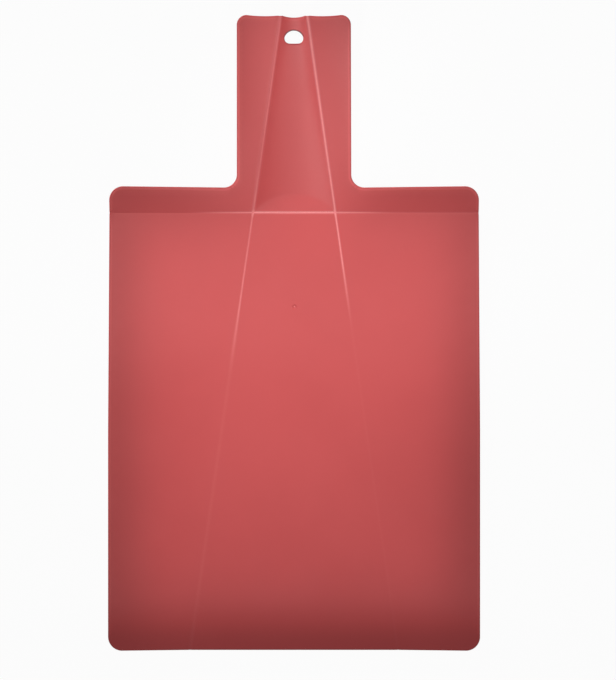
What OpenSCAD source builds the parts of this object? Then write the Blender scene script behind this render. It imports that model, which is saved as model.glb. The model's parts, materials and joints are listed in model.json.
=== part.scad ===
// Folding chopping board, moulded as one sheet with film hinges.
// Squeezing the handle turns its strips and both wings up into a chute, and
// the raised handle comes down level with the floor panel.
// Millimetres. +Y runs to the handle, +Z up, the underside lies on z = 0.
// Outlines are drawn with the sheet laid flat and y = 0 on the rear crease.
// What lies behind that crease is then tilted up by handle_rise.

/* [Board] */
// Width across both wings
board_width = 270; // [240:1:290]
// Width at the rear crease, where the sides draw in a little
rear_width = 268; // [238:1:288]
// From the rear crease to where the sides start to draw in
draw_in_reach = 158; // [60:1:200]
// From the rear crease to the middle of the front edge
front_reach = 317.1; // [280:0.1:340]
// How far the front corners stand forward of the middle
front_bow = 0.6; // [0:0.1:2]
// Radius of the outer corners
corner_radius = 10.2; // [6:0.1:14]
// Thickness of every panel
sheet_thickness = 2.4; // [2:0.1:3]

/* [Shoulders] */
// From the rear crease to the shoulders' rear edge, beside the handle
shoulder_depth = 18.5; // [15:0.1:24]
// Extra depth of the shoulders at their outer corners
shoulder_flare = 0.9; // [0:0.1:2]
// Inner radius between shoulder and handle
fillet_radius = 9.5; // [8:0.1:14]

/* [Handle] */
// From the rear crease to the handle's end, along the sheet
handle_reach = 141.9; // [120:0.1:160]
// Width at the root
root_width = 82.8; // [76:0.1:90]
// Width at the end
end_width = 81.3; // [74:0.1:90]
// Radius of the end's corners
end_radius = 6.9; // [5:0.1:12]
// Angle at which the handle stands up from the board
handle_rise = 12; // [6:0.5:16]
// How far the end's corners reach beyond its hinge lines
end_flare = 0.55; // [0:0.05:2]
// How far each strip's end is hollowed in plan
end_wave = 0.65; // [0:0.05:1.5]
// How far each strip is dished at the end
strip_dish = 0.3; // [0:0.1:2]
// How far each strip's outer edge is turned up at the end
strip_lift = 2; // [0:0.1:3]

/* [Trough] */
// Depth of the trough at the handle's end
trough_depth = 2.4; // [1:0.1:4]
// How far the trough's end is hollowed in plan
trough_wave = 1.6; // [0:0.1:2]
// Height of the arc where the trough starts, above the rear crease
arc_height = 12.2; // [9:0.1:18]
// Angle between the root inside that arc and the handle's plane
root_drop = 11.5; // [4:0.5:14]

/* [Hanging hole] */
// Radius of the round end
hole_radius = 7.2; // [6:0.1:9]
// Corner radius of the flat end
hole_corner = 3.7; // [3:0.1:4.5]
// From the flat end to the round end
hole_length = 9.1; // [8.5:0.1:10]
// From the middle of the handle's end to the hole's round end
hole_margin = 9.3; // [7:0.1:14]

/* [Hinges] */
// Half the distance between the slanting hinges at the rear crease
hinge_half = 29.9; // [24:0.1:34]
// Angle of the slanting hinges to the centre line
hinge_splay = 8.15; // [5:0.05:9]
// Half the width of a hinge groove
groove_half = 0.8; // [0.6:0.1:1.2]
// Half the width of the handle's grooves at its end
end_groove_half = 1.3; // [0.8:0.1:1.6]
// Thickness of the film that bends
film_thickness = 0.5; // [0.3:0.05:0.8]
// Depth of the film below the cutting surface
film_drop = 0.3; // [0.1:0.05:0.5]
// Half the width of the sheet that flexes beside each handle strip's root
web_half = 1.2; // [1:0.1:2]

/* [Hidden] */

sheet_colour = [0.83, 0.37, 0.37];
film_colour = [0.95, 0.52, 0.53];
// Steps in a rounded corner, and in the strips and the trough
corner_steps = 10;
strip_columns = 8;
side_steps = 9;
trough_columns = 20;
trough_rows = 10;
// Where films end short of each other at the meeting points of the hinges
vertex_gap = 0.15;
// Gap between a slanting film and the panels beside it
film_gap = 0.02;

film_top = sheet_thickness - film_drop;
film_base = film_top - film_thickness;
axis_height = (film_top + film_base) / 2;
above_axis = sheet_thickness - axis_height;
splay_slope = tan(hinge_splay);
rear_half = rear_width / 2;
board_half = board_width / 2;
root_half = root_width / 2;
end_half = end_width / 2;

// Furthest reach of the tilted handle behind the crease, seen from above
rear_reach = (handle_reach + end_flare) * cos(handle_rise) + axis_height * sin(handle_rise);
crease_y = (front_reach + front_bow - rear_reach) / 2;

// Inner corner between the right shoulder and the handle
fillet_centre = [root_half + fillet_radius, shoulder_depth + fillet_radius];
vertex = [hinge_half, 0];
to_fillet = fillet_centre - vertex;
web_angle = atan2(to_fillet.y, to_fillet.x);
web_line = [cos(web_angle), sin(web_angle)];
web_side = [sin(web_angle), -cos(web_angle)];
// Where the web's two edges meet the fillet, as angles about its centre
web_swing = asin(web_half / fillet_radius);
strip_web_angle = web_angle + 180 - web_swing;
shoulder_web_angle = web_angle + 180 + web_swing;

// Half the distance between the hinge lines, y behind the rear crease
function hinge_x(y) = hinge_half - splay_slope * y;
// Half the width of the grooves beside the trough
function groove_at(y) = groove_half + (end_groove_half - groove_half) * max(y, 0) / handle_reach;
// Points on an arc, from one angle to another
function arc(centre, radius, from, to, steps = corner_steps) =
    [for (i = [0 : steps]) centre + radius * [cos(from + (to - from) * i / steps),
                                              sin(from + (to - from) * i / steps)]];
// Part of the way from one point to another
function between(a, b, share) = a + (b - a) * share;
// Smooth step from 0 to 1
function ease(t) = t <= 0 ? 0 : t >= 1 ? 1 : t * t * (3 - 2 * t);
// Where the line from p along d crosses the line from q along e
function crossing(p, d, q, e) = p + d * ((q - p) * [e.y, -e.x]) / (d * [e.y, -e.x]);

hinge_line = [-splay_slope, 1];
// Outer edge of the right handle film, where it leaves the meeting point
film_edge_start = vertex + [groove_half, 0];
film_edge_line = [hinge_x(handle_reach) + end_groove_half, handle_reach] - film_edge_start;
strip_corner = crossing(film_edge_start, film_edge_line, vertex - web_half * web_side, web_line);
shoulder_corner = crossing([0, groove_half], [1, 0], vertex + web_half * web_side, web_line);

// Places the laid-flat sheet on the board's level, with the crease at crease_y
module level() {
    translate([0, crease_y, 0])
        children();
}

// Tilts the laid-flat sheet up about the rear crease
module raised() {
    translate([0, crease_y, axis_height])
        rotate([handle_rise, 0, 0])
            translate([0, 0, -axis_height])
                children();
}

// Draws the right-hand piece on the left
module on_left() {
    mirror([1, 0, 0])
        children();
}

// A flat panel of full thickness
module panel(outline) {
    linear_extrude(sheet_thickness)
        polygon(outline);
}

// A flat film at the depth of the hinges
module film(outline) {
    translate([0, 0, film_base])
        linear_extrude(film_thickness)
            polygon(outline);
}

// A closed slab between two grids of points, each a list of rows that run
// towards +Y with their points towards +X
module slab(top, base) {
    rows = len(top);
    columns = len(top[0]);
    count = rows * columns;
    function upper(r, c) = r * columns + c;
    function lower(r, c) = count + upper(r, c);
    last_r = rows - 1;
    last_c = columns - 1;
    faces = concat(
        [for (r = [0 : rows - 2], c = [0 : columns - 2]) each [
            [upper(r, c), upper(r + 1, c), upper(r + 1, c + 1)],
            [upper(r, c), upper(r + 1, c + 1), upper(r, c + 1)],
            [lower(r, c), lower(r + 1, c + 1), lower(r + 1, c)],
            [lower(r, c), lower(r, c + 1), lower(r + 1, c + 1)]]],
        [for (c = [0 : columns - 2]) each [
            [lower(0, c), upper(0, c), upper(0, c + 1)],
            [lower(0, c), upper(0, c + 1), lower(0, c + 1)],
            [lower(last_r, c), upper(last_r, c + 1), upper(last_r, c)],
            [lower(last_r, c), lower(last_r, c + 1), upper(last_r, c + 1)]]],
        [for (r = [0 : rows - 2]) each [
            [lower(r + 1, 0), upper(r + 1, 0), upper(r, 0)],
            [lower(r + 1, 0), upper(r, 0), lower(r, 0)],
            [lower(r, last_c), upper(r, last_c), upper(r + 1, last_c)],
            [lower(r, last_c), upper(r + 1, last_c), lower(r + 1, last_c)]]]
    );
    polyhedron([for (row = concat(top, base)) each row], faces);
}

// Flat middle panel between the slanting hinges
module floor_panel() {
    rear_x = hinge_x(-groove_half) - groove_half;
    front_x = hinge_x(-front_reach) - groove_half;
    color(sheet_colour)
        level()
            panel([[-rear_x, -groove_half], [-front_x, -front_reach],
                   [front_x, -front_reach], [rear_x, -groove_half]]);
}

// Side wing, right-hand
module wing() {
    front = front_reach + front_bow;
    corner = [board_half - corner_radius, corner_radius - front];
    color(sheet_colour)
        level()
            panel(concat(
                [[hinge_x(-groove_half) + groove_half, -groove_half],
                 [hinge_x(-front_reach) + groove_half, -front_reach]],
                arc(corner, corner_radius, -90, 0),
                [[board_half, -draw_in_reach], [rear_half, -groove_half]]
            ));
}

module left_wing() { on_left() wing(); }
module right_wing() { wing(); }

// Shoulder beside the handle's root, right-hand
module shoulder() {
    corner = [rear_half, shoulder_depth + shoulder_flare] - corner_radius * [1, 1];
    color(sheet_colour)
        raised()
            panel(concat(
                [shoulder_corner, [rear_half, groove_half]],
                arc(corner, corner_radius, 0, 90),
                arc(fillet_centre, fillet_radius, 270, shoulder_web_angle)
            ));
}

module left_shoulder() { on_left() shoulder(); }
module right_shoulder() { shoulder(); }

// Outer edge of the right strip, from its web along the fillet, the side and
// the end's rounded corner
strip_fillet = arc(fillet_centre, fillet_radius, strip_web_angle, 180, 5);
strip_end_corner = [end_half, handle_reach + end_flare] - end_radius * [1, 1];
strip_round = arc(strip_end_corner, end_radius, 0, 90, 8);
strip_side = [for (i = [1 : side_steps - 1])
    between(strip_fillet[len(strip_fillet) - 1], strip_round[0], i / side_steps)];
strip_edge = concat(strip_fillet, strip_side, strip_round);
strip_end_y = strip_edge[len(strip_edge) - 1].y;
// Where the strip's dish starts, and how it deepens from there to the end
dish_start = 24;
function dish_share(y) = ease((y - dish_start) / (handle_reach - dish_start) * 0.75) / ease(0.75);

// A point of the strip's upper face, on row i and u of the way to its outer edge
function strip_point(i, u) =
    let (outer = strip_edge[i],
         share = (outer.y - strip_edge[0].y) / (strip_end_y - strip_edge[0].y),
         inner_y = strip_corner.y + (handle_reach - strip_corner.y) * share,
         inner = [hinge_x(inner_y) + groove_at(inner_y), inner_y],
         place = between(inner, outer, u),
         hollow = end_wave * 4 * u * (1 - u) * pow(share, 6),
         rise = strip_lift * u * u - strip_dish * 4 * u * (1 - u))
    [place.x, place.y - hollow, sheet_thickness + rise * dish_share(place.y)];

// Dished side strip of the handle, right-hand
module grip() {
    top = [for (i = [0 : len(strip_edge) - 1])
        [for (k = [0 : strip_columns]) strip_point(i, k / strip_columns)]];
    base = [for (row = top) [for (p = row) p - [0, 0, sheet_thickness]]];
    color(sheet_colour)
        raised()
            slab(top, base);
}

module left_grip() { on_left() grip(); }
module right_grip() { grip(); }

// The strip of sheet that flexes between shoulder and handle strip, right-hand
module root_web() {
    color(sheet_colour)
        raised()
            panel(concat(
                [[film_edge_start.x + vertex_gap, groove_half], shoulder_corner],
                arc(fillet_centre, fillet_radius, shoulder_web_angle, strip_web_angle, 3),
                [strip_corner]
            ));
}

module left_root_web() { on_left() root_web(); }
module right_root_web() { root_web(); }

// The arc where the trough starts: its half chord and its radius
arc_half = hinge_half - groove_half;
arc_radius = (arc_half * arc_half + arc_height * arc_height) / (2 * arc_height);
// Least distance between the rear groove and the arc's ends
arc_start = groove_half + 0.6;

// Distance of the arc from the rear crease, s = -1 to 1 across the root
function arc_reach(s) =
    arc_start + sqrt(pow(arc_radius, 2) - pow(arc_half * s, 2)) - (arc_radius - arc_height);
// A point of the root inside the arc, reach behind the crease and lift above the
// hinge axis before the root's own tilt
function root_point(s, reach, lift) =
    [arc_half * s,
     reach * cos(root_drop) + lift * sin(root_drop),
     axis_height - reach * sin(root_drop) + lift * cos(root_drop)];
// A point at the handle's end
function end_point(s, lift) =
    let (half = hinge_x(handle_reach) - end_groove_half)
    [half * s,
     handle_reach - trough_wave * (1 - s * s),
     axis_height + lift - trough_depth * (1 - s * s)];
// The trough's upper or lower face: the groove's edge, the arc, then straight
// lines from the arc to the end
function spine_face(lift) =
    let (across = [for (k = [0 : trough_columns]) 2 * k / trough_columns - 1])
    concat(
        [[for (s = across) root_point(s, groove_half, lift)]],
        [for (r = [0 : trough_rows])
            [for (s = across)
                between(root_point(s, arc_reach(s), lift), end_point(s, lift), r / trough_rows)]]
    );

// Outline of the hanging hole, round towards the handle's end. Its corners run on
// smoothly from the round end, where the angle from the hole's centre is join_angle.
hole_y = handle_reach - trough_wave - hole_margin - hole_radius;
corner_rise = hole_radius + hole_corner - hole_length;
corner_x = sqrt(pow(hole_radius - hole_corner, 2) - pow(corner_rise, 2));
join_angle = atan2(corner_rise, corner_x);
corner_step = (90 + join_angle) / 8;
hole_outline = concat(
    arc([0, hole_y], hole_radius, join_angle, 180 - join_angle, 20),
    arc([-corner_x, hole_y + corner_rise], hole_corner, 180 - join_angle + corner_step, 270, 7),
    arc([corner_x, hole_y + corner_rise], hole_corner, -90, join_angle - corner_step, 7)
);

// Middle of the handle: the flat root inside the arc and the tapering trough
module handle_spine() {
    color(sheet_colour)
        raised()
            difference() {
                slab(spine_face(above_axis), spine_face(-axis_height));
                translate([0, 0, -2 * sheet_thickness])
                    linear_extrude(4 * sheet_thickness)
                        polygon(hole_outline);
            }
}

// Film between the floor panel and a wing, right-hand
module floor_film() {
    half = groove_half - film_gap;
    rear_x = hinge_x(-vertex_gap);
    front_x = hinge_x(-front_reach);
    color(film_colour)
        level()
            film([[rear_x - half, -vertex_gap], [front_x - half, -front_reach],
                  [front_x + half, -front_reach], [rear_x + half, -vertex_gap]]);
}

module left_floor_film() { on_left() floor_film(); }
module right_floor_film() { floor_film(); }

// Film between the trough and a handle strip, right-hand
module handle_film() {
    inner_x = arc_half + film_gap;
    outer_x = hinge_x(vertex_gap) + groove_at(vertex_gap) - film_gap;
    end_x = hinge_x(handle_reach);
    end_groove = end_groove_half - film_gap;
    trough_corner = root_point(1, arc_start, above_axis);
    color(film_colour)
        raised()
            film([[inner_x, vertex_gap], [outer_x, vertex_gap],
                  [end_x + end_groove, handle_reach], [end_x - end_groove, handle_reach],
                  [inner_x, trough_corner.y]]);
}

module left_handle_film() { on_left() handle_film(); }
module right_handle_film() { handle_film(); }

// A film along the rear crease from x = from to x = to, bent up by an angle
module rear_film(from, to, bend) {
    half = film_thickness / 2;
    slant = half * tan(bend / 2);
    along = groove_half * [cos(bend), sin(bend)];
    across = half * [-sin(bend), cos(bend)];
    color(film_colour)
        translate([from, crease_y, axis_height])
            rotate([90, 0, 90])
                linear_extrude(to - from)
                    polygon([[-groove_half, -half], [slant, -half], along - across,
                             along + across, [-slant, half], [-groove_half, half]]);
}

module centre_rear_film() {
    half = hinge_half - groove_half - vertex_gap;
    rear_film(-half, half, handle_rise - root_drop);
}

module right_rear_film() {
    rear_film(hinge_half + groove_half + vertex_gap, rear_half, handle_rise);
}

module left_rear_film() { on_left() right_rear_film(); }

floor_panel();
left_wing();
right_wing();
handle_spine();
left_grip();
right_grip();
left_shoulder();
right_shoulder();
left_root_web();
right_root_web();
left_floor_film();
right_floor_film();
left_handle_film();
right_handle_film();
centre_rear_film();
left_rear_film();
right_rear_film();
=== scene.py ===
import json
import math
import bpy
from mathutils import Matrix, Vector
from mathutils.geometry import delaunay_2d_cdt

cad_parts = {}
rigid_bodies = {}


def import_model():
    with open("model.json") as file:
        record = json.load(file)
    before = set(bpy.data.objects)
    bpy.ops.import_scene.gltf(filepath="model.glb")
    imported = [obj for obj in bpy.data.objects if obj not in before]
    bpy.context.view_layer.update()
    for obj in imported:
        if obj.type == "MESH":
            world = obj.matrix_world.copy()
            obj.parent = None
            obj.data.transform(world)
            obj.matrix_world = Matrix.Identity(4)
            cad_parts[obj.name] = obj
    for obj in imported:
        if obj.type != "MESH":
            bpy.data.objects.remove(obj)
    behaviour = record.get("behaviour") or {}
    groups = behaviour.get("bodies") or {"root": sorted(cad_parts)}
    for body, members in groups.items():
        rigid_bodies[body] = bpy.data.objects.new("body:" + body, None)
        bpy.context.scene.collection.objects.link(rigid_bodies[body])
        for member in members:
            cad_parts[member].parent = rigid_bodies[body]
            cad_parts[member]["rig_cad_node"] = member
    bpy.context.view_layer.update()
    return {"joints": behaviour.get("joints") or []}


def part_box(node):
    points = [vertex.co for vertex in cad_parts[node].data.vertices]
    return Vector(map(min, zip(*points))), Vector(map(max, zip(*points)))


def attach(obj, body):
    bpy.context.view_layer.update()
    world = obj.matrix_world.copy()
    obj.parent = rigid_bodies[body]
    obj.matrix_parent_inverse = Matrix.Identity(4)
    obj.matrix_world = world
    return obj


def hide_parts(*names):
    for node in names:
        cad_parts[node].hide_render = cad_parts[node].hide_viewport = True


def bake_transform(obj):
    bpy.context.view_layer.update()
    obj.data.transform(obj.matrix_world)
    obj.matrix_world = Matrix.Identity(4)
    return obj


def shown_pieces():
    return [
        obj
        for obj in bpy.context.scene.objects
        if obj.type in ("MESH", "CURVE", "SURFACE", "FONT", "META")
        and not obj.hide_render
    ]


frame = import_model()
mm = 0.001
print("frame loaded")


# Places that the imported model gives, in metres. Outlines are drawn with the
# sheet laid flat and y = 0 on the rear crease.
joints = {joint["name"]: joint for joint in frame["joints"]}
wingFold = joints["right_wing_fold"]
hingeHalf, creaseY, axisHeight = wingFold["pos_m"]
splaySlope = -wingFold["axis"][0] / wingFold["axis"][1]
handleRise = -math.radians(joints["handle_tilt"]["range_deg"][0])
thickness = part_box("floor_panel")[1].z
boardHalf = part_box("right_wing")[1].x
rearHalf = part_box("right_shoulder")[1].x
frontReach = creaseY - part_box("floor_panel")[0].y
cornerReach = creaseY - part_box("right_wing")[0].y

levelPlace = Matrix.Translation((0, creaseY, 0))
raisedPlace = (
    Matrix.Translation((0, creaseY, axisHeight))
    @ Matrix.Rotation(handleRise, 4, "X")
    @ Matrix.Translation((0, 0, -axisHeight))
)

grooves = {
    "half": 0.8 * mm,          # half the width of a film hinge
    "endHalf": 1.3 * mm,       # the same at the handle's end
    "webHalf": 1.2 * mm,       # half the flexing strip beside the handle's root
    "filmBase": axisHeight - 0.25 * mm,    # height of a film's underside
    "lip": 0.1 * mm,           # how far a panel's edge dips to its film
    "nick": 0.2 * mm,          # and how much deeper the film's middle lies
    "nickWidth": 0.35 * mm,
    "leastFilm": 0.12 * mm,    # thickness that a film keeps everywhere
}


def ease(t):
    t = min(max(t, 0.0), 1.0)
    return t * t * (3 - 2 * t)


def mix(a, b, share):
    return a + (b - a) * share


def hingeX(y):
    return hingeHalf - splaySlope * y


def grooveAt(y):
    return mix(grooves["half"], grooves["endHalf"], max(y, 0) / handle["reach"])


# Points on a circle, from a start angle to an end angle in degrees
def arc(centre, radius, start, end, steps):
    angles = [math.radians(mix(start, end, i / steps)) for i in range(steps + 1)]
    return [centre + radius * Vector((math.cos(a), math.sin(a))) for a in angles]


# Where the line from p along d meets the line from q along e
def crossing(p, d, q, e):
    share = ((q.x - p.x) * e.y - (q.y - p.y) * e.x) / (d.x * e.y - d.y * e.x)
    return p + d * share


# The hinges' looks: how pale the line on the bent plastic is, partly from stress
# whitening and partly painted highlight, how wide that line is in millimetres and how
# deep the groove is. The first value of a pair holds near the meeting points, the second
# further out, and they blend between the fade distances, which are in metres.
creaseLines = {
    "centre": {
        "pale": (1.0, 1.0), "width": (0.75, 0.75), "groove": (1, 1), "fade": (0, 1),
    },
    "leftRear": {
        "pale": (0.85, 0.02), "width": (0.6, 0.6), "groove": (0.6, 0), "fade": (0.004, 0.05),
    },
    "rightRear": {
        "pale": (0.85, 0.16), "width": (0.6, 0.5), "groove": (0.6, 0.05), "fade": (0.004, 0.05),
    },
    "leftBoard": {
        "pale": (0.5, 0.05), "width": (0.6, 1.4), "groove": (0.8, 0.25), "fade": (0.06, 0.12),
    },
    "rightBoard": {
        "pale": (0.9, 0.02), "width": (0.6, 0.9), "groove": (0.8, 0.1), "fade": (0.02, 0.085),
    },
    "leftHandle": {
        "pale": (0.45, 0.22), "width": (0.9, 1.5), "groove": (0.25, 0.1), "fade": (0, 0.04),
    },
    "rightHandle": {
        "pale": (0.8, 0.7), "width": (0.7, 1.0), "groove": (0.7, 0.6), "fade": (0.02, 0.14),
    },
}
rearLineShift = 0.35 * mm      # how far behind its film's middle the rear line lies


# The hinges near a place, each with the distance along it from the meeting point
# and the distance across it
def hingesBy(x, y):
    side = "left" if x < 0 else "right"
    slanting = creaseLines[side + ("Handle" if y > 0 else "Board")]
    found = [(slanting, abs(y), (abs(x) - hingeX(y)) / math.hypot(1, splaySlope))]
    if abs(x) < hingeHalf:
        return found + [(creaseLines["centre"], 0, y - rearLineShift)]
    return found + [(creaseLines[side + "Rear"], abs(x) - hingeHalf, y - rearLineShift)]


def lineValue(line, name, along):
    start, end = line["fade"]
    return mix(*line[name], ease((along - start) / (end - start)))


# Painted sheen: the trough is paler towards the handle's end, more so on its right side,
# standing in for the pale surroundings reflected there. Fades run from one distance
# behind the crease to another, here and below.
troughSheen = {"right": 0.13, "left": 0.025, "fade": (0.085, 0.125)}


def troughSheenShare(x, y):
    start, end = troughSheen["fade"]
    if y < start or abs(x) > hingeX(y):
        return 0.0
    share = mix(troughSheen["left"], troughSheen["right"], (x / hingeX(y) + 1) / 2)
    return share * ease((y - start) / (end - start))


# How pale the plastic is at a place on the sheet, whichever is palest: a painted
# highlight on the gate mark's nub on the top face, the painted sheen of the trough, or a
# hinge line near the place, pale partly from stress whitening and partly painted highlight
def paleness(x, y, z):
    away = math.hypot(x - gateMark["x"], y - gateMark["y"])
    pale = math.exp(-((away / gateMark["paleRadius"]) ** 2)) if z > thickness / 2 else 0.0
    pale = max(pale, troughSheenShare(x, y))
    for line, along, across in hingesBy(x, y):
        width = lineValue(line, "width", along) * mm
        pale = max(pale, lineValue(line, "pale", along) * math.exp(-((across / width) ** 2)))
    return pale


def grooveShare(x, y):
    line, along, _ = min(hingesBy(x, y), key=lambda hinge: abs(hinge[2]))
    return lineValue(line, "groove", along)


# The rim, where light comes through from the side: a line a little inside the
# edge, weaker on the board than on the handle and gone at the front edge.
rimGlow = {
    "inset": 1.5 * mm,
    "width": 0.75 * mm,
    "board": 0.55,
    "boardFade": 0.02,         # how far behind the crease it takes to reach full strength
    "end": 0.5,                # its strength at the handle's end
    "frontFade": (-0.31, -0.285),
    "endFade": (0.13, 0.138),
}


def rimShare(y):
    start, end = rimGlow["frontFade"]
    endStart, endEnd = rimGlow["endFade"]
    share = mix(rimGlow["board"], 1, ease(y / rimGlow["boardFade"]))
    share *= ease((y - start) / (end - start))
    return share * mix(1, rimGlow["end"], ease((y - endStart) / (endEnd - endStart)))


# How an edge is shaped, from its outermost line inwards: for each of its lines, how
# far in and how far down from the surface. The last ones keep the flat part flat.
edgeLines = 7
tightStep = 0.02 * mm          # spacing of the lines where an edge needs no shape


# Lines on a quarter circle, then the given ones on the flat, in millimetres
def quarterRound(radius, beyond):
    pairs, steps = [], edgeLines - len(beyond) - 1
    for i in range(steps + 1):
        angle = math.pi / 2 * i / steps
        pairs.append((radius * (1 - math.cos(angle)), radius * (1 - math.sin(angle))))
    return pairs + [(inset * mm, 0) for inset in beyond]


def edgePairs(*pairs):
    return [(inset * mm, drop * mm) for inset, drop in pairs]


filmUnder = grooves["filmBase"]
rimRadius = 0.85 * mm
grooveKinds = ("hinge", "shortHinge")
edges = {
    "rim": {
        "top": quarterRound(rimRadius, (1.5, 2.4)),
        "base": quarterRound(rimRadius, (1.5, 2.4)),
        "sharp": False,
    },
    "hinge": {
        "top": edgePairs(
            (0, 0.1), (0.1, 0.07), (0.25, 0.03), (0.45, 0.008), (0.7, 0), (1.1, 0), (1.7, 0)
        ),
        "base": [
            (0, filmUnder),
            (0.15 * mm, filmUnder - 0.08 * mm),
            (0.95 * mm, 0.3 * mm),
            (1.2 * mm, 0.06 * mm),
            (1.45 * mm, 0),
            (1.8 * mm, 0),
            (2.2 * mm, 0),
        ],
        "sharp": True,
    },
    "shortHinge": {
        "top": edgePairs(
            (0, 0.1), (0.08, 0.07), (0.2, 0.03), (0.32, 0.008), (0.45, 0), (0.6, 0), (0.7, 0)
        ),
        "base": [(tightStep * i, filmUnder * max(0, 1 - i / 5)) for i in range(edgeLines)],
        "sharp": True,
    },
    "flush": {
        "top": [(tightStep * i, 0) for i in range(edgeLines)],
        "base": [(tightStep * i, 0) for i in range(edgeLines)],
        "sharp": True,
    },
}


# The hole's edge: rounded towards the board, steep and wider towards the handle's
# end, in kinds from the one to the other. The steep wall gets painted shade in the deep
# colour, on each of its lines by the share in wallShade.
holeKinds = 5
wallShade = (1, 1, 1, 1, 0.6, 0, 0)
holeWall = {
    "rounded": quarterRound(1.1 * mm, (1.2, 1.3)),
    "steep": edgePairs(
        (0, 1.75), (0.22, 1.25), (0.45, 0.75), (0.68, 0.28), (0.88, 0.06), (1.2, 0), (1.3, 0)
    ),
    "baseRadii": (1, 0.5),     # of the rounded kind and the steep one, in millimetres
    "baseFlat": (1.15, 1.3),
}


def holeEdge(share):
    pairs = zip(holeWall["rounded"], holeWall["steep"])
    top = [(mix(a[0], b[0], share), mix(a[1], b[1], share)) for a, b in pairs]
    base = quarterRound(mix(*holeWall["baseRadii"], share) * mm, holeWall["baseFlat"])
    return {"top": top, "base": base, "sharp": False, "deep": share}


for level in range(holeKinds):
    edges["hole%d" % level] = holeEdge(level / (holeKinds - 1))


# How far the rim's rounding lies down at a distance from the outermost line
def rimDrop(distance):
    radius = rimRadius
    if distance >= radius:
        return 0.0
    return radius - math.sqrt(radius ** 2 - (radius - max(distance, 0)) ** 2)


# How far from the rim an inner edge has its extra points, which carry the rim's
# rounding across that edge, and how long an edge has to be to get them
nearRim = (0.06 * mm, 0.2 * mm, 0.45 * mm, 0.85 * mm)
longEnough = 3 * mm


# The points between two corners of a ring, with each one's distance from the rim.
# Long edges are split evenly, in the same number of parts on every ring.
def edgePoints(a, b, parts, startRim, endRim):
    length = (b - a).length
    along = (b - a) / length
    early, late = [], []
    if startRim is not None:
        early = [(reach, startRim + reach) for reach in nearRim]
    if endRim is not None:
        late = [(length - reach, endRim + reach) for reach in reversed(nearRim)]
    low = early[-1][0] if early else 0.0
    high = late[0][0] if late else length
    middle = [(mix(low, high, j / parts), rimRadius) for j in range(1, parts)]
    return [(a + along * reach, distance) for reach, distance in early + middle + late]


# A ring of the outline moved inwards: its points, how far each of them lies down and
# its rim value, which is above 0 where the rim glows and below 0 on the hole's wall,
# where it paints shade
nearlyStraight = 0.05          # sine of a turn at which the shift is along the normal


def insetRing(outline, face, step, longest):
    def dropAt(point, kind):
        drop = edges[kind][face][step][1]
        if face == "top" and kind in grooveKinds:
            return drop * grooveShare(point.x, point.y)
        return drop

    def rimAt(kind):
        if kind.startswith("hole"):
            return -edges[kind]["deep"] * wallShade[step]
        if kind != "rim":
            return 0.0
        inset = edges[kind][face][step][0]
        return math.exp(-(((inset - rimGlow["inset"]) / rimGlow["width"]) ** 2))

    corners = []
    for i, (here, kind) in enumerate(outline):
        before, kindBefore = outline[i - 1]
        after = outline[(i + 1) % len(outline)][0]
        into = (here - before).normalized()
        outOf = (after - here).normalized()
        a = edges[kindBefore][face][step][0]
        b = edges[kind][face][step][0]
        normalA, normalB = Vector((-into.y, into.x)), Vector((-outOf.y, outOf.x))
        turn = normalA.x * normalB.y - normalA.y * normalB.x
        if abs(turn) < nearlyStraight:
            shift = (normalA + normalB).normalized() * (a + b) / 2
        else:
            shift = Vector((a * normalB.y - b * normalA.y, b * normalA.x - a * normalB.x)) / turn
        corners.append(here + shift)
    ring = []
    rimInset = edges["rim"][face][step][0]
    for i, (_, kind) in enumerate(outline):
        k = (i + 1) % len(outline)
        rim = rimAt(kind)
        drop = max(dropAt(corners[i], kind), dropAt(corners[i], outline[i - 1][1]))
        ring.append((corners[i], drop, rim))
        parts, fromRim, toRim = edgeParts(outline, i, longest)
        startRim, endRim = rimInset if fromRim else None, rimInset if toRim else None
        for point, distance in edgePoints(corners[i], corners[k], parts, startRim, endRim):
            carried = rimDrop(distance) if fromRim or toRim else 0.0
            ring.append((point, max(dropAt(point, kind), carried), rim))
    return ring


# In how many parts an edge is split, and whether the rim is at its start and end
def edgeParts(outline, i, longest):
    kind = outline[i][1]
    k = (i + 1) % len(outline)
    length = (outline[k][0] - outline[i][0]).length
    parts = max(1, math.ceil(length / longest))
    inner = edges[kind]["sharp"] and length > longEnough
    return parts, inner and outline[i - 1][1] == "rim", inner and outline[k][1] == "rim"


# The kind of each edge of a ring, its extra points included
def edgeKinds(outline, longest):
    kinds = []
    for i, (_, kind) in enumerate(outline):
        parts, fromRim, toRim = edgeParts(outline, i, longest)
        kinds += [kind] * (parts + len(nearRim) * (fromRim + toRim))
    return kinds


def inside(point, loop):
    odd = False
    for i, here in enumerate(loop):
        before = loop[i - 1]
        if (here.y > point.y) != (before.y > point.y):
            if point.x < here.x + (point.y - here.y) / (before.y - here.y) * (before.x - here.x):
                odd = not odd
    return odd


def clearOf(point, loop, gap):
    for i, here in enumerate(loop):
        start = loop[i - 1]
        run = here - start
        share = min(max((point - start).dot(run) / run.length_squared, 0), 1)
        if (start + run * share - point).length < gap:
            return False
    return True


# Points that fill an outline in staggered rows, clear of its edges and holes by a
# share of their spacing, and any extra points
grid = {
    "rowStep": 0.866,          # for triangles of equal sides
    "shift": (0.75, 0.25),     # of the even rows and of the odd ones
    "edgeGap": 0.45,
    "holeGap": 0.5,
    "extraGap": 0.3 * mm,
}


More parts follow.
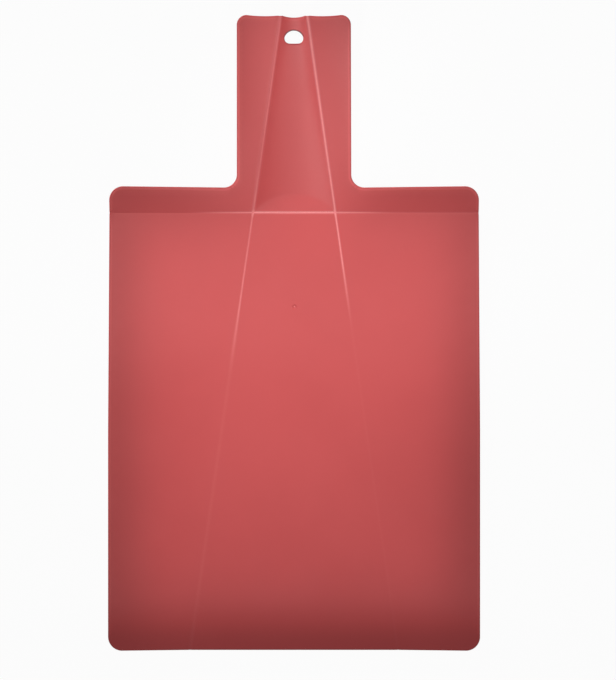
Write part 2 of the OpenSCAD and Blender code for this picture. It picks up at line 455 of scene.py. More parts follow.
def gridPoints(loops, spacing, extra, avoid):
    outer = loops[0]
    lowX, highX = min(p.x for p in outer), max(p.x for p in outer)
    lowY, highY = min(p.y for p in outer), max(p.y for p in outer)
    points = []
    row, y = 0, lowY + spacing / 2
    while y < highY:
        x = lowX + spacing * grid["shift"][row % 2]
        while x < highX:
            p = Vector((x, y))
            if not avoid(p) and inside(p, outer) and clearOf(p, outer, spacing * grid["edgeGap"]):
                gap = spacing * grid["holeGap"]
                if all(not inside(p, hole) and clearOf(p, hole, gap) for hole in loops[1:]):
                    points.append(p)
            x += spacing
        y += spacing * grid["rowStep"]
        row += 1
    return points + [p for p in extra if inside(p, outer) and clearOf(p, outer, grid["extraGap"])]


# Triangles between the loops and the points, the holes left open
tolerance = 1e-9


def fillTriangles(loops, points):
    places = [p for loop in loops for p in loop] + points
    sides, start, holes = [], 0, []
    for loop in loops:
        count = len(loop)
        sides += [(start + i, start + (i + 1) % count) for i in range(count)]
        holes.append(set(range(start, start + count)))
        start += count
    _, _, triangles, origins, _, _ = delaunay_2d_cdt(places, sides, [], 1, tolerance)
    triangles = [[origins[k][0] for k in triangle] for triangle in triangles]
    return [t for t in triangles if not any(hole.issuperset(t) for hole in holes[1:])]


# places are the vertices' own places on the flat sheet, for the material to use.
def finishPiece(name, vertices, faces, sharp, node, mirrored, places, rims=None):
    mesh = bpy.data.meshes.new(name)
    if mirrored:
        faces = [face[::-1] for face in faces]
    mesh.from_pydata([tuple(v) for v in vertices], [], faces)
    mesh.validate()
    mesh.shade_smooth()
    sharpEdges = mesh.attributes.new("sharp_edge", "BOOLEAN", "EDGE")
    sharpEdges.data.foreach_set("value", [tuple(sorted(e.vertices)) in sharp for e in mesh.edges])
    pale = mesh.attributes.new("pale", "FLOAT", "POINT")
    pale.data.foreach_set("value", [paleness(p.x, p.y, p.z) for p in places])
    rim = mesh.attributes.new("rim", "FLOAT", "POINT")
    rim.data.foreach_set("value", rims or [0.0] * len(places))
    laidFlat = mesh.attributes.new("sheetPlace", "FLOAT_VECTOR", "POINT")
    laidFlat.data.foreach_set("vector", [number for p in places for number in p])
    piece = bpy.data.objects.new(name, mesh)
    bpy.context.scene.collection.objects.link(piece)
    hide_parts(node)
    return piece


# A panel: its outline as corners, each with the kind of edge that follows it, drawn
# on the right side and mirrored for the left. surface gives the height of the top
# face, under that of the base plus the thickness where it differs.
def sheetPiece(
    name, node, outline, surface, place, mesh, side=1, holes=(), extra=(), avoid=None, under=None
):
    vertices, places, rims, faces, sharp = [], [], [], [], set()
    outlines = [outline] + list(holes)

    def add(point, height, rim=0.0):
        vertices.append(place @ Vector((point.x * side, point.y, height)))
        places.append(Vector((point.x * side, point.y, height)))
        rims.append(rim * rimShare(point.y))
        return len(vertices) - 1

    def level(point, drop, face):
        if face == "top":
            return surface(point.x, point.y) - drop
        return (under or surface)(point.x, point.y) - thickness + drop

    outermost = {}
    for face in ("top", "base"):
        innerLoops, innerRows = [], []
        for loop in outlines:
            rows = []
            for step in range(edgeLines):
                ring = insetRing(loop, face, step, mesh["longest"])
                rows.append([add(p, level(p, drop, face), rim) for p, drop, rim in ring])
            count = len(ring)
            for low, high in zip(rows, rows[1:]):
                for i in range(count):
                    k = (i + 1) % count
                    quad = [low[i], low[k], high[k], high[i]]
                    faces.append(quad if face == "top" else quad[::-1])
            innerLoops.append([p for p, _, _ in ring])
            innerRows += rows[-1]
            outermost.setdefault(face, []).append(rows[0])
        inner = gridPoints(innerLoops, mesh["spacing"], extra, avoid or (lambda p: False))
        indices = innerRows + [add(p, level(p, 0, face)) for p in inner]
        for triangle in fillTriangles(innerLoops, inner):
            corners = [indices[k] for k in triangle]
            faces.append(corners if face == "top" else corners[::-1])
    for loop, top, base in zip(outlines, outermost["top"], outermost["base"]):
        count = len(top)
        kinds = edgeKinds(loop, mesh["longest"])
        for i in range(count):
            k = (i + 1) % count
            faces.append([base[i], base[k], top[k], top[i]])
            if edges[kinds[i]]["sharp"]:
                sharp.add(tuple(sorted((top[i], top[k]))))
                sharp.add(tuple(sorted((base[i], base[k]))))
    return finishPiece(name, vertices, faces, sharp, node, side < 0, places, rims)


def bothSides(build):
    for side, word in ((-1, "left"), (1, "right")):
        build(side, word)


# How far apart a panel's points are inside it and at most along its edges
flatMesh = {"spacing": 7 * mm, "longest": 8 * mm}
curvedMesh = {"spacing": 2.3 * mm, "longest": 2.5 * mm}


def flatSurface(x, y):
    return thickness


# Floor panel, with the small pit and nub where the plastic was injected
gateMark = {
    "x": 0.3 * mm,
    "y": -68 * mm,
    "pitRadius": 1.6 * mm,
    "pitFlat": 1.0 * mm,
    "pitDepth": 0.5 * mm,
    "nubRadius": 0.8 * mm,
    "nubFlat": 0.3 * mm,
    "nubHeight": 0.5 * mm,
    # size of the painted highlight on the nub's top
    "paleRadius": 0.6 * mm,
    "rings": (                 # of mesh points around it, in millimetres
        0.15, 0.3, 0.45, 0.6, 0.7, 0.8, 0.9, 1, 1.1, 1.2, 1.3, 1.4, 1.5, 1.6, 1.8, 2.3, 3.2, 4.6
    ),
    "fineFrom": 0.6,
    "ringPoints": (12, 24),    # on each ring inside fineFrom, and on each from there on
    "meshRadius": 7 * mm,      # where the rings give way to the panel's grid
}


def floorSurface(x, y):
    away = math.hypot(x - gateMark["x"], y - gateMark["y"])
    pit = 1 - ease((away - gateMark["pitFlat"]) / (gateMark["pitRadius"] - gateMark["pitFlat"]))
    nub = 1 - ease((away - gateMark["nubFlat"]) / (gateMark["nubRadius"] - gateMark["nubFlat"]))
    return thickness - gateMark["pitDepth"] * pit + gateMark["nubHeight"] * nub


def buildFloorPanel():
    rear = hingeX(-grooves["half"]) - grooves["half"]
    front = hingeX(-frontReach) - grooves["half"]
    outline = [
        (Vector((-rear, -grooves["half"])), "hinge"),
        (Vector((-front, -frontReach)), "rim"),
        (Vector((front, -frontReach)), "hinge"),
        (Vector((rear, -grooves["half"])), "hinge"),
    ]
    gate = Vector((gateMark["x"], gateMark["y"]))
    rings = [gate]
    for reach in gateMark["rings"]:
        count = gateMark["ringPoints"][reach >= gateMark["fineFrom"]]
        rings += arc(gate, reach * mm, 0, 360 - 360 / count, count - 1)

    def nearGate(p):
        return (p - gate).length < gateMark["meshRadius"]

    piece = sheetPiece(
        "floorPanel", "floor_panel", outline, floorSurface, levelPlace, flatMesh,
        extra=rings, avoid=nearGate, under=flatSurface,
    )
    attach(piece, "floor")


# Wings, the two large panels that fold up beside the floor panel
board = {
    "cornerRadius": 10.2 * mm,
    "cornerSteps": 18,
    "drawInReach": 158 * mm,   # where the sides start to draw in
}


def buildWing(side, word):
    radius = board["cornerRadius"]
    corner = Vector((boardHalf - radius, radius - cornerReach))
    outline = [
        (Vector((hingeX(-grooves["half"]) + grooves["half"], -grooves["half"])), "hinge"),
        (Vector((hingeX(-frontReach) + grooves["half"], -frontReach)), "rim"),
    ]
    outline += [(p, "rim") for p in arc(corner, radius, -90, 0, board["cornerSteps"])]
    outline += [
        (Vector((boardHalf, -board["drawInReach"])), "rim"),
        (Vector((rearHalf, -grooves["half"])), "hinge"),
    ]
    piece = sheetPiece(
        word + "Wing", word + "_wing", outline, flatSurface, levelPlace, flatMesh, side
    )
    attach(piece, word + "_wing")


# The shoulder, the handle strip and the flexing web between them meet along a
# line from the meeting point of the hinges to the middle of the inner fillet.
shoulders = {
    "depth": 18.5 * mm,
    "flare": 0.9 * mm,         # extra depth at the outer corners
    "filletRadius": 9.5 * mm,
    "filletSteps": 8,
    "webSteps": 4,
}
handle = {
    "reach": 141.9 * mm,
    "rootHalf": 41.4 * mm,
    "endHalf": 40.65 * mm,
    "endRadius": 6.9 * mm,
    "endSteps": 16,
    "endFlare": 0.5 * mm,      # how far the end's corners reach past its hinges
    "endWave": 0.65 * mm,      # hollow of each strip's end, seen from above
    "waveShare": 0.88,         # how much of that end has points of its own
    "waveSteps": 10,
    "stripDish": 0.3 * mm,
    "stripLift": 2.0 * mm,
    "dishStart": 24 * mm,
    "dishShare": 0.75,         # how much of an easing curve the dish follows
}
filletCorner = Vector((handle["rootHalf"], shoulders["depth"]))
filletCentre = filletCorner + shoulders["filletRadius"] * Vector((1, 1))
vertex = Vector((hingeHalf, 0))
webLine = (filletCentre - vertex).normalized()
webSide = Vector((webLine.y, -webLine.x))
webAngle = math.degrees(math.atan2(webLine.y, webLine.x))
webSwing = math.degrees(math.asin(grooves["webHalf"] / shoulders["filletRadius"]))
stripWebAngle = webAngle + 180 - webSwing
shoulderWebAngle = webAngle + 180 + webSwing
filmEdgeStart = vertex + Vector((grooves["half"], 0))
filmEdgeEnd = Vector((hingeX(handle["reach"]) + grooves["endHalf"], handle["reach"]))
webShift = grooves["webHalf"] * webSide
stripCorner = crossing(filmEdgeStart, filmEdgeEnd - filmEdgeStart, vertex - webShift, webLine)
shoulderCorner = crossing(
    Vector((0, grooves["half"])), Vector((1, 0)), vertex + webShift, webLine
)


def buildShoulder(side, word):
    radius = board["cornerRadius"]
    corner = Vector((rearHalf - radius, shoulders["depth"] + shoulders["flare"] - radius))
    steps = shoulders["filletSteps"]
    fillet = arc(filletCentre, shoulders["filletRadius"], 270, shoulderWebAngle, steps)
    outline = [
        (shoulderCorner, "hinge"),
        (Vector((rearHalf, grooves["half"])), "rim"),
    ]
    outline += [(p, "rim") for p in arc(corner, radius, 0, 90, board["cornerSteps"])]
    outline += [(p, "rim") for p in fillet[:-1]]
    outline += [(fillet[-1], "flush")]
    piece = sheetPiece(
        word + "Shoulder", word + "_shoulder", outline, flatSurface, raisedPlace, flatMesh, side
    )
    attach(piece, word + "_shoulder")


def buildRootWeb(side, word):
    steps = shoulders["webSteps"]
    fillet = arc(filletCentre, shoulders["filletRadius"], shoulderWebAngle, stripWebAngle, steps)
    start = grooves["half"]
    filmEdge = hingeX(start) + grooveAt(start) + tightStep
    outline = [(Vector((filmEdge, start)), "shortHinge"), (shoulderCorner, "flush")]
    outline += [(p, "rim") for p in fillet[:-1]]
    outline += [(fillet[-1], "flush"), (stripCorner, "shortHinge")]
    piece = sheetPiece(
        word + "RootWeb", word + "_root_web", outline, flatSurface, raisedPlace, curvedMesh, side
    )
    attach(piece, word + "_grip")


# Handle strip, dished a little and turned up at its outer edge towards the end
def gripSurface(x, y):
    inner = hingeX(y) + grooveAt(y)
    outer = mix(handle["rootHalf"], handle["endHalf"], y / handle["reach"])
    u = (x - inner) / (outer - inner)
    dishShare = handle["dishShare"]
    share = ease(dishShare * (y - handle["dishStart"]) / (handle["reach"] - handle["dishStart"]))
    rise = handle["stripLift"] * u * u - handle["stripDish"] * 4 * u * (1 - u)
    return thickness + rise * share / ease(dishShare)


# The strip's end, from u = 0 at the hinge to u = 1 at the outer corner's start
def gripEnd(u):
    inner = hingeX(handle["reach"]) + grooves["endHalf"]
    x = mix(inner, handle["endHalf"] - handle["endRadius"], u)
    wave = handle["endWave"] * 4 * u * (1 - u)
    return Vector((x, handle["reach"] + handle["endFlare"] * u - wave))


def buildGrip(side, word):
    steps = shoulders["filletSteps"]
    fillet = arc(filletCentre, shoulders["filletRadius"], stripWebAngle, 180, steps)
    radius = handle["endRadius"]
    corner = Vector((handle["endHalf"] - radius, handle["reach"] + handle["endFlare"] - radius))
    outline = [(stripCorner, "flush")]
    outline += [(p, "rim") for p in fillet]
    outline += [(p, "rim") for p in arc(corner, radius, 0, 90, handle["endSteps"])[:-1]]
    for i in range(handle["waveSteps"] + 1):
        outline.append((gripEnd(1 - handle["waveShare"] * i / handle["waveSteps"]), "rim"))
    outline += [(gripEnd(0), "hinge")]
    piece = sheetPiece(
        word + "Grip", word + "_grip", outline, gripSurface, raisedPlace, curvedMesh, side
    )
    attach(piece, word + "_grip")


# Handle spine: the flat root inside the arc, then the tapering trough, which
# runs in straight lines from the arc to the handle's end
trough = {
    "depth": 2.4 * mm,
    "wave": 1.6 * mm,          # hollow of the trough's end, seen from above
    "waveShare": 0.72,         # how much of that end has points of its own
    "waveSteps": 7,
    "arcHeight": 12.2 * mm,
    "arcGap": 0.6 * mm,        # from the film to the arc's corners
    "rootDrop": math.radians(11.5),
    "crease": 0.25 * mm,       # how soft the arc's crease is
    "creaseRows": (-1.5, -0.7, 0, 0.7, 1.5),
    "creaseSteps": 20,
    "creaseClear": 2.6 * mm,   # how far from the crease the piece's grid starts
}
hangingHole = {
    "radius": 7.2 * mm,        # of its round end
    "corner": 3.7 * mm,
    "length": 9.1 * mm,
    "margin": 9.3 * mm,
    "bow": 0.05 * mm,          # of its flat side
    "roundSteps": 30,
    "cornerSteps": 14,
    "steepFrom": 0.25,         # where its wall starts to be steep, as a share of the radius
    "steepOver": 0.6,
}
arcHalf = hingeHalf - grooves["half"]
arcRadius = (arcHalf ** 2 + trough["arcHeight"] ** 2) / (2 * trough["arcHeight"])
arcStart = grooves["half"] + trough["arcGap"]
spineEndHalf = hingeX(handle["reach"]) - grooves["endHalf"]
aboveAxis = thickness - axisHeight


# s runs from -1 at the left hinge to 1 at the right one.
def arcReach(s):
    bulge = math.sqrt(arcRadius ** 2 - (arcHalf * s) ** 2)
    return arcStart + bulge - (arcRadius - trough["arcHeight"])


def rootPoint(s, reach):
    drop = trough["rootDrop"]
    return Vector((
        arcHalf * s,
        reach * math.cos(drop) + aboveAxis * math.sin(drop),
        axisHeight - reach * math.sin(drop) + aboveAxis * math.cos(drop),
    ))


def spineEnd(s):
    bow = 1 - s * s
    y = handle["reach"] - trough["wave"] * bow
    return Vector((spineEndHalf * s, y, thickness - trough["depth"] * bow))


# The line that a place lies on is found in a few rounds.
def spineSurface(x, y):
    along, rounds = 0.5, 12
    for _ in range(rounds):
        s = max(-1.0, min(1.0, x / mix(arcHalf, spineEndHalf, along)))
        start, end = rootPoint(s, arcReach(s)), spineEnd(s)
        along = (y - start.y) / (end.y - start.y)
    hollow = mix(start.z, end.z, along)
    root = rootPoint(0, 0)
    flat = root.z - (y - root.y) * math.tan(trough["rootDrop"])
    return (flat + hollow + math.hypot(flat - hollow, trough["crease"])) / 2


def holeKind(y):
    share = y / hangingHole["radius"] - hangingHole["steepFrom"]
    return "hole%d" % round((holeKinds - 1) * ease(share / hangingHole["steepOver"]))


# The D-shaped hole: its round end, two corners and the flat side between them
def holeOutline(holeY):
    radius, corner = hangingHole["radius"], hangingHole["corner"]
    rise = radius + corner - hangingHole["length"]
    aside = math.sqrt((radius - corner) ** 2 - rise ** 2)
    join = math.degrees(math.atan2(rise, aside))
    steps = hangingHole["cornerSteps"]
    hole = arc(Vector((0, holeY)), radius, join, 180 - join, hangingHole["roundSteps"])
    hole += arc(Vector((-aside, holeY + rise)), corner, 180 - join, 270, steps)[1:]
    for u in (-2 / 3, -1 / 3, 0, 1 / 3, 2 / 3):
        y = holeY + rise - corner - hangingHole["bow"] * (1 - u * u)
        hole.append(Vector((aside * u, y)))
    hole += arc(Vector((aside, holeY + rise)), corner, 270, 360 + join, steps)[:-1]
    return [(p, holeKind(p.y - holeY)) for p in reversed(hole)]


def buildSpine():
    front = rootPoint(0, grooves["half"]).y
    frontHalf = hingeX(front) - grooveAt(front)
    outline = [
        (Vector((-frontHalf, front)), "hinge"),
        (Vector((frontHalf, front)), "hinge"),
        (spineEnd(1).to_2d(), "rim"),
    ]
    steps = trough["waveSteps"]
    for i in range(2 * steps + 1):
        outline.append((spineEnd(trough["waveShare"] * (1 - i / steps)).to_2d(), "rim"))
    outline += [(spineEnd(-1).to_2d(), "hinge")]
    creaseRows, steps = [], trough["creaseSteps"]
    for shift in trough["creaseRows"]:
        for i in range(1 - steps, steps):
            s = i / steps
            creaseRows.append(rootPoint(s, arcReach(s) + shift * mm).to_2d())

    def nearCrease(p):
        if abs(p.x) >= arcHalf:
            return False
        return abs(p.y - rootPoint(0, arcReach(p.x / arcHalf)).y) < trough["creaseClear"]

    holeY = handle["reach"] - trough["wave"] - hangingHole["margin"] - hangingHole["radius"]
    piece = sheetPiece(
        "handleSpine", "handle_spine", outline, spineSurface, raisedPlace, curvedMesh,
        holes=[holeOutline(holeY)], extra=creaseRows, avoid=nearCrease,
    )
    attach(piece, "handle")


# Films: thin strips from panel edge to panel edge, nicked along the middle.
# bodies names the two bodies on either side; it is not used.
# spot turns a share of the length and u into a place on the flat sheet and the
# distance from the hinge's middle; rimEnd is the share at which the rim is.
acrossFilm = (-1, -0.8, -0.6, -0.45, -0.3, -0.15, 0, 0.15, 0.3, 0.45, 0.6, 0.8, 1)
filmEndGap = 0.15 * mm         # how far inside the rim a film ends
filmRowGap = 0.03 * mm         # least distance between a film's rows
filmRows = {"floor": 80, "handle": 48, "sideRear": 30, "centreRear": 20}


def filmPiece(name, node, rows, spot, place, bodies, side=1, rimEnd=None):
    vertices, places, faces = [], [], []
    columns = len(acrossFilm)
    shares = [row / rows for row in range(rows + 1)]
    length = (Vector(spot(1, 0)[:2]) - Vector(spot(0, 0)[:2])).length
    least = filmEndGap + filmRowGap
    extra = [(reach - filmEndGap) / length for reach in nearRim if reach > least]
    if rimEnd == 0:
        shares = [0.0] + extra + shares[1:]
    elif rimEnd == 1:
        shares = shares[:-1] + [1 - share for share in reversed(extra)] + [1.0]
    rows = len(shares) - 1
    for face in ("top", "base"):
        for share in shares:
            for u in acrossFilm:
                x, y, across = spot(share, u)
                nick = grooves["nick"] * math.exp(-((across / grooves["nickWidth"]) ** 2))
                dip = (grooves["lip"] + nick) * grooveShare(x, y)
                if rimEnd is not None:
                    dip = max(dip, rimDrop(filmEndGap + abs(share - rimEnd) * length))
                top = max(thickness - dip, grooves["filmBase"] + grooves["leastFilm"])
                height = top if face == "top" else grooves["filmBase"]
                vertices.append(place(Vector((x * side, y, height))))
                places.append(Vector((x * side, y, height)))
    layer = (rows + 1) * columns
    for row in range(rows):
        for k in range(columns - 1):
            a = row * columns + k
            quad = [a, a + 1, a + 1 + columns, a + columns]
            faces += [quad, [layer + i for i in reversed(quad)]]
    border = list(range(columns))
    border += [row * columns + columns - 1 for row in range(1, rows + 1)]
    border += [rows * columns + k for k in range(columns - 2, -1, -1)]
    border += [row * columns for row in range(rows - 1, 0, -1)]
    sharp = set()
    for a, b in zip(border, border[1:] + border[:1]):
        faces.append([a + layer, b + layer, b, a])
        sharp |= {tuple(sorted((a, b))), tuple(sorted((a + layer, b + layer)))}
    piece = finishPiece(name, vertices, faces, sharp, node, side < 0, places)
    middle, edge, along = (Vector(spot(*at)[:2]) for at in ((0.5, 0), (0.5, 1), (1, 0)))
    along -= middle
    across = Vector((along.y, -along.x)).normalized()
    reach = across * (edge - middle).dot(across)
    limits = (middle - reach, middle + reach)
    start, end = (place(Vector((p.x * side, p.y, axisHeight))) for p in limits)
    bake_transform(piece)
    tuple(start)
    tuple(end)


# Places points on a rear film, which bends by an angle from the board to the handle
def bentPlace(rise):
    half = grooves["half"]

    def place(point):
        angle = rise * ease((point.y + half) / (2 * half))
        turned = Matrix.Rotation(angle, 3, "X") @ Vector((point.x, point.y, point.z - axisHeight))
        return turned + Vector((0, creaseY, axisHeight))

    return place


def buildSlantingFilms(side, word):
    def boardSpot(share, u):
        y = mix(filmEndGap - frontReach, 0, share)
        return hingeX(y) + u * grooves["half"], y, u * grooves["half"]

    def handleSpot(share, u):
        y = mix(0, handle["reach"] - filmEndGap, share)
        return hingeX(y) + u * grooveAt(y), y, u * grooveAt(y)

    filmPiece(
        word + "FloorFilm", word + "_floor_film", filmRows["floor"], boardSpot,
        lambda p: levelPlace @ p, ("floor", word + "_wing"), side, 0,
    )
    filmPiece(
        word + "HandleFilm", word + "_handle_film", filmRows["handle"], handleSpot,
        lambda p: raisedPlace @ p, ("handle", word + "_grip"), side, 1,
    )


def buildSideRearFilm(side, word):
    def spot(share, u):
        y = -u * grooves["half"]
        return mix(hingeX(y) + grooveAt(y), rearHalf - filmEndGap, share), y, -y

    filmPiece(
        word + "RearFilm", word + "_rear_film", filmRows["sideRear"], spot,
        bentPlace(handleRise), (word + "_shoulder", word + "_wing"), side, 1,
    )


def buildCentreRearFilm():
    def spot(share, u):
        y = -u * grooves["half"]
        half = hingeX(y) - grooveAt(y)
        return mix(-half, half, share), y, -y

    filmPiece(
        "centreRearFilm", "centre_rear_film", filmRows["centreRear"], spot,
        bentPlace(handleRise - trough["rootDrop"]), ("handle", "floor"),
    )


buildFloorPanel()
bothSides(buildWing)
bothSides(buildShoulder)
bothSides(buildRootWeb)
bothSides(buildGrip)
buildSpine()
bothSides(buildSlantingFilms)
bothSides(buildSideRearFilm)
buildCentreRearFilm()
print("panels and films built")


# Shader maths: a socket that takes part in Python expressions
class Value:
    def __init__(self, graph, socket):
        self.graph = graph
        self.socket = socket

    def maths(self, operation, first, second):
        return self.graph.node("ShaderNodeMath", {"operation": operation}, {0: first, 1: second})

    def __add__(self, other):
        return self.maths("ADD", self, other)

    def __radd__(self, other):
        return self.maths("ADD", other, self)

    def __sub__(self, other):
        return self.maths("SUBTRACT", self, other)

    def __rsub__(self, other):
        return self.maths("SUBTRACT", other, self)

    def __mul__(self, other):
        return self.maths("MULTIPLY", self, other)

    def __rmul__(self, other):
        return self.maths("MULTIPLY", other, self)


class Graph:
    def __init__(self, tree):
        self.tree = tree
        tree.nodes.clear()

    def node(self, kind, settings=None, sockets=None, output=0):
        made = self.tree.nodes.new(kind)
        for name, value in (settings or {}).items():
            setattr(made, name, value)
        for name, value in (sockets or {}).items():
            if isinstance(value, Value):
                self.tree.links.new(value.socket, made.inputs[name])
            else:
                made.inputs[name].default_value = value
        return Value(self, made.outputs[output]) if made.outputs else made

    def band(self, value, low, high, bottom=0.0, top=1.0):
        return self.node(
            "ShaderNodeMapRange",
            {"interpolation_type": "SMOOTHSTEP"},
            {"Value": value, "From Min": low, "From Max": high, "To Min": bottom, "To Max": top},
        )

    def blendColours(self, share, first, second):
        return self.node(
            "ShaderNodeMix", {"data_type": "RGBA"}, {"Factor": share, 6: first, 7: second}, output=2
        )

    def noise(self, place, scale, detail=2.0, roughness=0.5):
        return self.node(
            "ShaderNodeTexNoise", None,
            {"Vector": place, "Scale": scale, "Detail": detail, "Roughness": roughness},
        )


# Colours as linear numbers, from the usual 0 to 1 screen values
def screen(*channels):
    linear = [c / 12.92 if c <= 0.04045 else ((c + 0.055) / 1.055) ** 2.4 for c in channels]
    return (*linear, 1.0)


sheetPlastic = {
    "colour": screen(0.824, 0.308, 0.31),
    "deeper": screen(0.814, 0.3, 0.302),
    # the pale colour: stress whitening and painted highlight on the hinge lines, painted highlight
    # on the nub and painted sheen in the trough
    "pale": screen(1.0, 0.62, 0.62),
    "rim": screen(0.9, 0.385, 0.385),
    # colour of the painted shade
    "deep": screen(0.38, 0.13, 0.15),
    "frontShade": 0.18,        # share of the deep colour painted as shade along the front edge, where the light falls off
    "frontFade": (-0.312, -0.294),
    "clouds": (14, 3),         # of the two base colours: scale and detail
    "cloudBand": (0.35, 0.65),
    "flow": (45, 4, 0.6),      # slow changes in gloss: scale, detail and roughness
    "streaks": 600,            # scale of the broken paleness on the hinge lines
    "streakBand": (0.3, 0.7, 0.9, 1.0),
    "roughness": 0.42,
    "flowRough": 0.06,
    "grainRough": 0.08,
    "paleRough": 0.05,
    "specular": 0.35,
    "index": 1.49,             # of refraction
    "grain": 0.35 * mm,        # size of the satin grain
    "grainDepth": 0.012 * mm,
}


def makeSheetPlastic():
    look = sheetPlastic
    material = bpy.data.materials.new("sheetPlastic")
    material.use_nodes = True
    graph = Graph(material.node_tree)
    place = graph.node("ShaderNodeAttribute", {"attribute_name": "sheetPlace"}, output=1)
    pale = graph.node("ShaderNodeAttribute", {"attribute_name": "pale"}, output=2)
    rim = graph.node("ShaderNodeAttribute", {"attribute_name": "rim"}, output=2)
    clouds = graph.noise(place, *look["clouds"])
    grain = graph.noise(place, 1 / look["grain"])
    flow = graph.noise(place, *look["flow"])
    clouded = graph.band(clouds, *look["cloudBand"])
    base = graph.blendColours(clouded, look["colour"], look["deeper"])
    streak = graph.band(graph.noise(place, look["streaks"]), *look["streakBand"])
    rimmed = graph.blendColours(rim, base, look["rim"])
    # Painted shade: the deep colour darkens the front edge, and the hole's steep wall where rim is
    # below 0.
    alongSheet = graph.node("ShaderNodeSeparateXYZ", None, {0: place}, output=1)
    front = graph.band(alongSheet, *look["frontFade"], look["frontShade"], 0.0)
    withPaintedShade = graph.blendColours(front - rim, rimmed, look["deep"])
    colour = graph.blendColours(pale * streak, withPaintedShade, look["pale"])
    rough = look["roughness"] + look["flowRough"] * (flow - 0.5)
    rough = rough + look["grainRough"] * (grain - 0.5) + look["paleRough"] * pale
    bump = graph.node(
        "ShaderNodeBump", None,
        {"Strength": 1.0, "Distance": look["grainDepth"], "Height": grain},
    )
    shader = graph.node(
        "ShaderNodeBsdfPrincipled", None,
        {
            "Base Color": colour,
            "Roughness": rough,
            "Normal": bump,
            "IOR": look["index"],
            "Specular IOR Level": look["specular"],
        },
    )
    graph.node("ShaderNodeOutputMaterial", None, {"Surface": shader})
    return material


plastic = makeSheetPlastic()
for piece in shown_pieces():
    if "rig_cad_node" not in piece:
        piece.data.materials.append(plastic)
print("materials made")


# Studio: a pale floor and backdrop that look white to the camera, and soft light
studio = {
    "floorSize": 8.0,
    "floorDrop": 2.9 * mm,     # clear of the trough, which sinks as the handle comes down
    "floorColour": (0.8, 0.8, 0.8, 1),
    "lampDistance": 1.0,
    "floorShown": 0.96,        # how much of the floor's look is its own white
    "ambient": 0.261,
}


# 1 for what the camera sees, also by reflection or through a clear body
def whiteRays(graph):
    names = ("Is Camera Ray", "Is Glossy Ray", "Is Transmission Ray")
    camera, glossy, through = (graph.node("ShaderNodeLightPath", output=name) for name in names)
    return camera + glossy + through


def makeFloor():
    half = studio["floorSize"] / 2
    below = -studio["floorDrop"]
    mesh = bpy.data.meshes.new("floor")
    corners = [(-half, -half), (half, -half), (half, half), (-half, half)]
    mesh.from_pydata([(x, y, below) for x, y in corners], [], [(0, 1, 2, 3)])
    floor = bpy.data.objects.new("studioFloor", mesh)
    bpy.context.scene.collection.objects.link(floor)
    material = bpy.data.materials.new("floorWhite")
    material.use_nodes = True
    graph = Graph(material.node_tree)
    lit = graph.node("ShaderNodeBsdfDiffuse", None, {"Color": studio["floorColour"]})
    white = graph.node("ShaderNodeEmission", None, {"Color": (1, 1, 1, 1), "Strength": 1.0})
    share = whiteRays(graph) * studio["floorShown"]
    shown = graph.node("ShaderNodeMixShader", None, {0: share, 1: lit, 2: white})
    graph.node("ShaderNodeOutputMaterial", None, {"Surface": shown})
    mesh.materials.append(material)


def makeWorld():
    world = bpy.data.worlds.new("studioWorld")
    bpy.context.scene.world = world
    world.use_nodes = True
    graph = Graph(world.node_tree)
    strength = studio["ambient"] + (1 - studio["ambient"]) * whiteRays(graph)
    sockets = {"Color": (1, 1, 1, 1), "Strength": strength}
    shader = graph.node("ShaderNodeBackground", None, sockets)
    graph.node("ShaderNodeOutputWorld", None, {"Surface": shader})


# A softbox with a grid: its light falls on the rectangle from front to rear and
# halfWidth to either side, and fades out over the distance fade past its edges.
# tilt leans it from overhead to the rear, aside to the right, in degrees.
def softLight(name, tilt, aside, middle, halfWidth, front, rear, fade, power):
    lean, turn = math.radians(tilt), math.radians(aside)
    up, back = math.cos(lean) * math.cos(turn), math.sin(lean) * math.cos(turn)
    way = Vector((math.sin(turn), back, up))
    aim = Vector((middle, (front + rear) / 2, 0))
    light = bpy.data.lights.new(name, "AREA")
    light.shape = "RECTANGLE"
    light.size, light.size_y = 2 * halfWidth, (rear - front) * math.cos(lean)
    light.spread = 2 * math.atan(fade / studio["lampDistance"])
    light.energy = power
    lamp = bpy.data.objects.new(name, light)
    bpy.context.scene.collection.objects.link(lamp)
    lamp.location = aim + way * studio["lampDistance"]
    lamp.rotation_euler = (-way).to_track_quat("-Z", "Y").to_euler()
    lamp.visible_camera = False


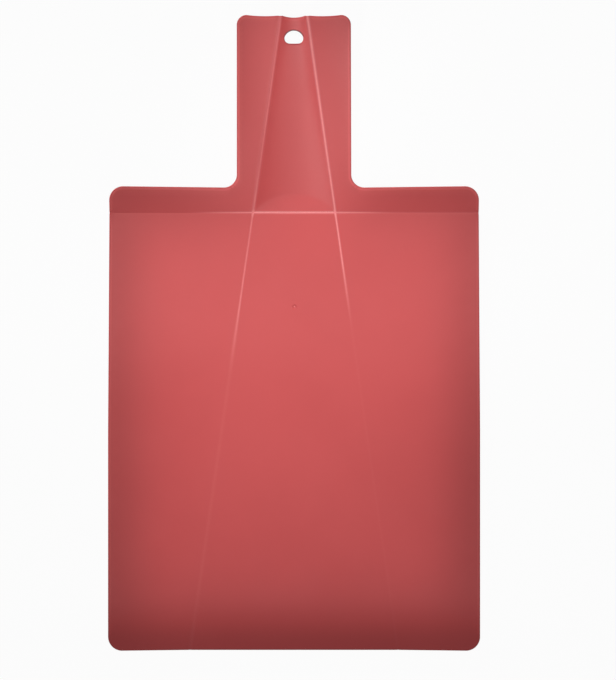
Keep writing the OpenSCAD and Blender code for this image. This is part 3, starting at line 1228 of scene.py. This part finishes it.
lights = {
    "endLight": {
        "tilt": -26, "aside": 12, "middle": -0.01, "halfWidth": 0.021,
        "front": 0.12, "rear": 0.29, "fade": 0.05, "power": 0.0037,
    },
    "leftLight": {
        "tilt": 8, "aside": -15, "middle": -0.05, "halfWidth": 0.096,
        "front": -0.2, "rear": 0.16, "fade": 0.1014, "power": 0.0143,
    },
    "handleLight": {
        "tilt": -26, "aside": -15, "middle": 0.01, "halfWidth": 0.068,
        "front": 0.088, "rear": 0.255, "fade": 0.0438, "power": 0.0180,
    },
    "lowRearLight": {
        "tilt": 74, "aside": -30, "middle": 0.01, "halfWidth": 0.33,
        "front": -0.104, "rear": 0.56, "fade": 0.0371, "power": 0.1466,
    },
    "rightLight": {
        "tilt": 12, "aside": 20, "middle": 0.025, "halfWidth": 0.102,
        "front": -0.112, "rear": 0.15, "fade": 0.0912, "power": 0.0281,
    },
    "boardLight": {
        "tilt": 0, "aside": -5, "middle": 0, "halfWidth": 0.113,
        "front": -0.215, "rear": 0.415, "fade": 0.052, "power": 0.0286,
    },
    "rearLight": {
        "tilt": 42, "aside": 0, "middle": 0, "halfWidth": 0.113,
        "front": -0.197, "rear": 0.085, "fade": 0.0347, "power": 0.0487,
    },
    "wideLight": {
        "tilt": -8, "aside": 0, "middle": 0, "halfWidth": 0.25,
        "front": -0.201, "rear": 0.4, "fade": 0.02, "power": 0.0501,
    },
}

makeFloor()
makeWorld()
for name, values in lights.items():
    softLight(name, **values)
print("studio set up")


# Camera: straight above, at the photograph's scale and framing
photoFrame = {
    "height": 680,
    "scale": 0.7253 * mm,      # size of a pixel on the cutting surface
    "middle": (10.1 * mm, -3.2 * mm),
    "distance": 1.6,
}
camera = bpy.data.cameras.new("camera")
camera.sensor_fit = "AUTO"
camera.sensor_width = 36
seen = photoFrame["height"] * photoFrame["scale"]
camera.lens = camera.sensor_width * (photoFrame["distance"] - thickness) / seen
cameraObject = bpy.data.objects.new("camera", camera)
bpy.context.scene.collection.objects.link(cameraObject)
cameraObject.location = (*photoFrame["middle"], photoFrame["distance"])
bpy.context.scene.camera = cameraObject
bpy.context.scene.view_settings.view_transform = "Standard"
